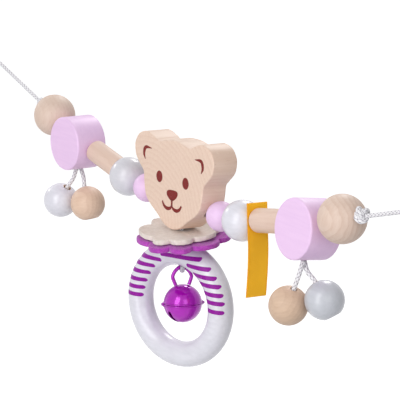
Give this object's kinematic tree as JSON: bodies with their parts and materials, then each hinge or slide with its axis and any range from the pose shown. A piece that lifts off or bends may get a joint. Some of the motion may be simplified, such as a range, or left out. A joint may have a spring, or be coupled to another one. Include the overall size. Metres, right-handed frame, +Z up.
{
  "type": "pram chain",
  "caption": "Wooden pram chain: bear head, beads, grasping ring with jingle bell and small ball tassels strung on an elastic cord with a loop at each end.",
  "frame": {"origin": "inner side of the left hanging loop, where its hook bears", "axes": "+X along the chain to the viewer's right, -Y the way the bear faces, +Z up"},
  "size_m": [0.4607, 0.05, 0.1501],
  "materials": {
    "beech": "bare turned and sawn wood",
    "pearl_white": "pearl white paint on wood",
    "pink": "lilac pink paint on wood",
    "natural_felt": "wool felt",
    "purple_felt": "wool felt",
    "purple_metal": "glossy purple",
    "steel": "plain",
    "white_cord": "braided elastic",
    "yellow_ribbon": "woven ribbon"
  },
  "bodies": {
    "cord": {"main_cord": "white_cord", "left_lead": "white_cord", "left_loop_knot": "white_cord", "left_loop": "white_cord", "left_stop_knot": "white_cord", "right_lead": "white_cord", "right_loop_knot": "white_cord", "right_loop": "white_cord", "right_stop_knot": "white_cord"},
    "left_pink_bead": {"left_pink_bead": "pink"},
    "left_white_bead": {"left_white_bead": "pearl_white"},
    "left_dowel": {"left_dowel": "beech"},
    "left_end_ball": {"left_end_ball": "beech"},
    "left_disc": {"left_disc": "pink", "left_tassel_fold": "white_cord"},
    "left_front_tassel": {"left_front_tassel_cord": "white_cord", "left_front_tassel_knot": "white_cord"},
    "left_front_tassel_ball": {"left_front_tassel_ball": "pearl_white"},
    "left_back_tassel": {"left_back_tassel_cord": "white_cord", "left_back_tassel_knot": "white_cord"},
    "left_back_tassel_ball": {"left_back_tassel_ball": "beech"},
    "right_pink_bead": {"right_pink_bead": "pink"},
    "right_white_bead": {"right_white_bead": "pearl_white"},
    "right_dowel": {"right_dowel": "beech"},
    "right_end_ball": {"right_end_ball": "beech"},
    "right_disc": {"right_disc": "pink", "right_tassel_fold": "white_cord"},
    "right_front_tassel": {"right_front_tassel_cord": "white_cord", "right_front_tassel_knot": "white_cord"},
    "right_front_tassel_ball": {"right_front_tassel_ball": "beech"},
    "right_back_tassel": {"right_back_tassel_cord": "white_cord", "right_back_tassel_knot": "white_cord"},
    "right_back_tassel_ball": {"right_back_tassel_ball": "pearl_white"},
    "ribbon_tag": {"ribbon_tag": "yellow_ribbon"},
    "bear_head": {"bear_head": "beech", "head_hanger_fold": "white_cord", "head_hanger_knot": "white_cord"},
    "hanger": {"ring_hanger_cord": "white_cord", "ring_stop_knot": "white_cord"},
    "natural_felt_flower": {"natural_felt_flower": "natural_felt"},
    "purple_felt_flower": {"purple_felt_flower": "purple_felt"},
    "wooden_ring": {"wooden_ring": "pearl_white"},
    "bell_loop": {"bell_hanger_loop": "white_cord"},
    "bell": {"bell_wire_loop": "purple_metal", "bell_upper_shell": "purple_metal", "bell_lower_shell": "purple_metal"},
    "bell_pellet": {"bell_pellet": "steel"}
  },
  "joints": [
    {"name": "left_pink_bead_spin", "type": "hinge", "parent": "cord", "child": "left_pink_bead", "pos_m": [0.19231, 0, -0.05181], "axis": [0.9958, 0, -0.0919], "continuous": true},
    {"name": "left_white_bead_spin", "type": "hinge", "parent": "cord", "child": "left_white_bead", "pos_m": [0.17286, 0, -0.04952], "axis": [0.9899, 0, -0.1419], "continuous": true},
    {"name": "left_dowel_spin", "type": "hinge", "parent": "cord", "child": "left_dowel", "pos_m": [0.14807, 0, -0.04514], "axis": [0.9786, 0, -0.2056], "continuous": true},
    {"name": "left_end_ball_spin", "type": "hinge", "parent": "cord", "child": "left_end_ball", "pos_m": [0.09118, 0, -0.0291], "axis": [0.9527, 0, -0.304], "continuous": true},
    {"name": "left_disc_turn", "type": "hinge", "parent": "cord", "child": "left_disc", "pos_m": [0.1185, 0, -0.03771], "axis": [0.9595, 0, -0.2817], "continuous": true},
    {"name": "left_front_tassel_swing", "type": "hinge", "parent": "left_disc", "child": "left_front_tassel", "pos_m": [0.11767, -0.00126, -0.05652], "axis": [-0.3817, 0.9243, 0], "range_deg": [0, 40]},
    {"name": "left_front_tassel_ball_spin", "type": "hinge", "parent": "left_front_tassel", "child": "left_front_tassel_ball", "pos_m": [0.10633, -0.00594, -0.07787], "axis": [0.4604, 0.1901, 0.8671], "continuous": true},
    {"name": "left_back_tassel_swing", "type": "hinge", "parent": "left_disc", "child": "left_back_tassel", "pos_m": [0.11762, 0.00164, -0.05666], "axis": [-0.0732, -0.9973, 0], "range_deg": [0, 40]},
    {"name": "left_back_tassel_ball_spin", "type": "hinge", "parent": "left_back_tassel", "child": "left_back_tassel_ball", "pos_m": [0.12599, 0.00102, -0.07659], "axis": [-0.3871, 0.0284, 0.9216], "continuous": true},
    {"name": "right_pink_bead_spin", "type": "hinge", "parent": "cord", "child": "right_pink_bead", "pos_m": [0.26361, 0, -0.05183], "axis": [0.9958, 0, 0.0914], "continuous": true},
    {"name": "right_white_bead_spin", "type": "hinge", "parent": "cord", "child": "right_white_bead", "pos_m": [0.28287, 0, -0.04957], "axis": [0.99, 0, 0.1409], "continuous": true},
    {"name": "right_dowel_spin", "type": "hinge", "parent": "cord", "child": "right_dowel", "pos_m": [0.30882, 0, -0.04498], "axis": [0.9782, 0, 0.2076], "continuous": true},
    {"name": "right_end_ball_spin", "type": "hinge", "parent": "cord", "child": "right_end_ball", "pos_m": [0.36532, 0, -0.02898], "axis": [0.9527, 0, 0.304], "continuous": true},
    {"name": "right_disc_turn", "type": "hinge", "parent": "cord", "child": "right_disc", "pos_m": [0.3382, 0, -0.03754], "axis": [0.9591, 0, 0.2831], "continuous": true},
    {"name": "right_front_tassel_swing", "type": "hinge", "parent": "right_disc", "child": "right_front_tassel", "pos_m": [0.34023, -0.004, -0.05599], "axis": [-0.2555, 0.9668, 0], "range_deg": [0, 40]},
    {"name": "right_front_tassel_ball_spin", "type": "hinge", "parent": "right_front_tassel", "child": "right_front_tassel_ball", "pos_m": [0.33134, -0.00635, -0.08204], "axis": [0.3219, 0.0851, 0.9429], "continuous": true},
    {"name": "right_back_tassel_swing", "type": "hinge", "parent": "right_disc", "child": "right_back_tassel", "pos_m": [0.33772, -0.00211, -0.05629], "axis": [0.4149, -0.9099, 0], "range_deg": [0, 40]},
    {"name": "right_back_tassel_ball_spin", "type": "hinge", "parent": "right_back_tassel", "child": "right_back_tassel_ball", "pos_m": [0.34901, 0.00304, -0.07604], "axis": [-0.4842, -0.2208, 0.8467], "continuous": true},
    {"name": "ribbon_tag_turn", "type": "hinge", "parent": "cord", "child": "ribbon_tag", "pos_m": [0.2945, 0, -0.04774], "axis": [0.9853, 0, 0.1708], "continuous": true},
    {"name": "bear_head_turn", "type": "hinge", "parent": "cord", "child": "bear_head", "pos_m": [0.22806, 0, -0.05345], "axis": [1, 0, 0], "continuous": true},
    {"name": "hanger_swing", "type": "hinge", "parent": "bear_head", "child": "hanger", "pos_m": [0.22806, -0.0012, -0.06565], "axis": [0, 1, 0], "range_deg": [-8, 8]},
    {"name": "natural_felt_flower_turn", "type": "hinge", "parent": "hanger", "child": "natural_felt_flower", "pos_m": [0.22806, -0.0012, -0.06904], "axis": [-0.02, -0.0286, 0.9994], "continuous": true},
    {"name": "purple_felt_flower_turn", "type": "hinge", "parent": "hanger", "child": "purple_felt_flower", "pos_m": [0.22806, -0.0012, -0.07214], "axis": [-0.02, -0.0286, 0.9994], "continuous": true},
    {"name": "wooden_ring_turn", "type": "hinge", "parent": "hanger", "child": "wooden_ring", "pos_m": [0.22806, -0.0012, -0.08839], "axis": [0, 0, 1], "continuous": true},
    {"name": "bell_loop_twist", "type": "hinge", "parent": "hanger", "child": "bell_loop", "pos_m": [0.22806, -0.0012, -0.08839], "axis": [0, 0, 1], "range_deg": [-90, 90]},
    {"name": "bell_swing", "type": "hinge", "parent": "bell_loop", "child": "bell", "pos_m": [0.22806, -0.0012, -0.09129], "axis": [-0.8988, 0.4384, 0], "range_deg": [-25, 25]},
    {"name": "bell_pellet_roll", "type": "hinge", "parent": "bell", "child": "bell_pellet", "pos_m": [0.23095, -0.00261, -0.10954], "axis": [-0.8988, 0.4384, 0], "range_deg": [-60, 60]}
  ]
}
